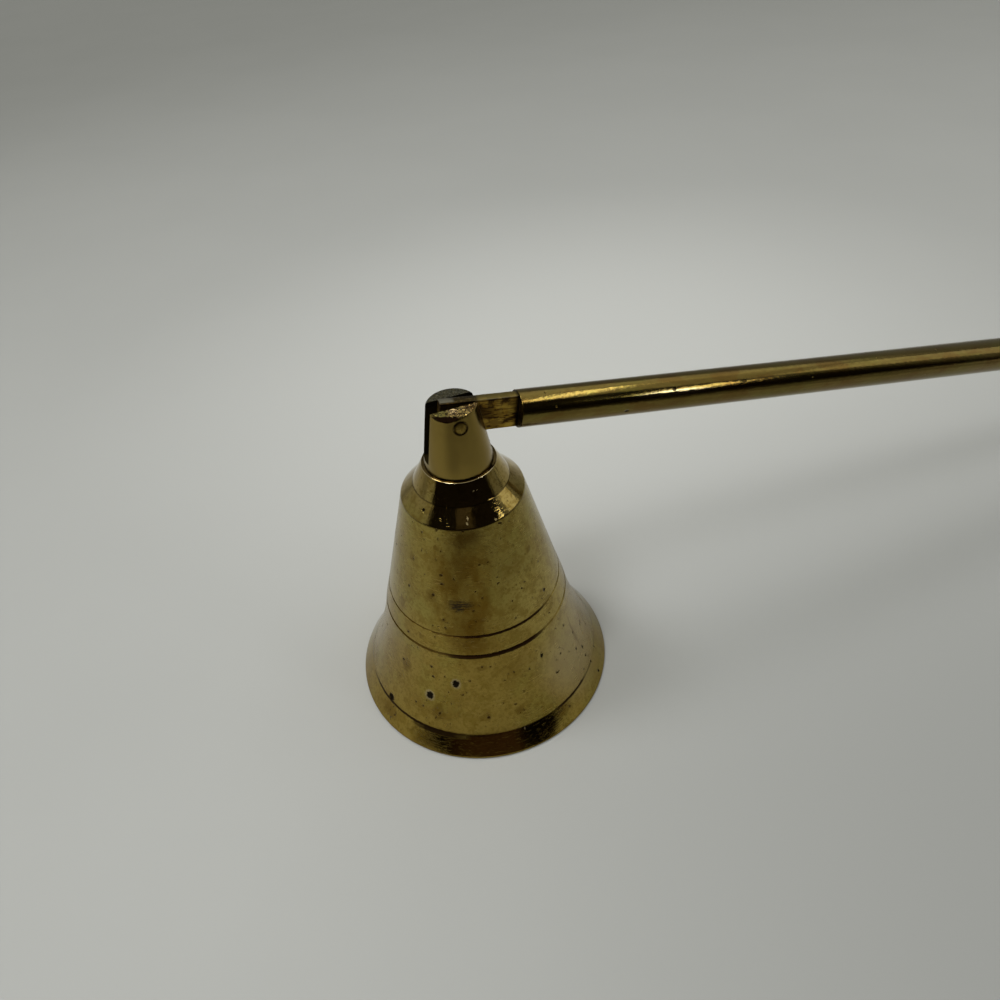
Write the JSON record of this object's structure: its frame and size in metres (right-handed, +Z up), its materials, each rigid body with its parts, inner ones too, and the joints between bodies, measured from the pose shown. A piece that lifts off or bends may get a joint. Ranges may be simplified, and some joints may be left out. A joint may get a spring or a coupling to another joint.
{
  "type": "candle snuffer",
  "caption": "Brass candle snuffer: turned bell-shaped cup with scribed rings, slotted post on its crown, and a long round handle that swings on a rivet through the post.",
  "frame": {"origin": "centre of the bell's mouth, on the table that the rim stands on", "axes": "+Z up along the bell's axis, +X towards the far end of the handle, +Y across the slot along the hinge pin"},
  "size_m": [0.2923, 0.0404, 0.0514],
  "materials": {
    "bell_brass": "turned yellow brass, satin skirt and body, bright bevel, aged with brown tarnish and dark pits",
    "post_brass": "turned yellow brass, satin sides, rough filed top, dark slot",
    "screw_brass": "turned brass screw, dulled",
    "pin_brass": "brass rivet, hammered and dressed flush",
    "handle_brass": "drawn brass rod, polished, with a stained milled tongue"
  },
  "bodies": {
    "snuffer_head": {"bell": "bell_brass", "hinge_post": "post_brass", "crown_screw": "screw_brass", "hinge_pin": "pin_brass"},
    "handle_arm": {"handle": "handle_brass"}
  },
  "joints": [
    {"name": "handle_pivot", "type": "hinge", "parent": "snuffer_head", "child": "handle_arm", "pos_m": [0, 0, 0.04904], "axis": [0, -1, 0], "range_deg": [-21, 225]}
  ]
}
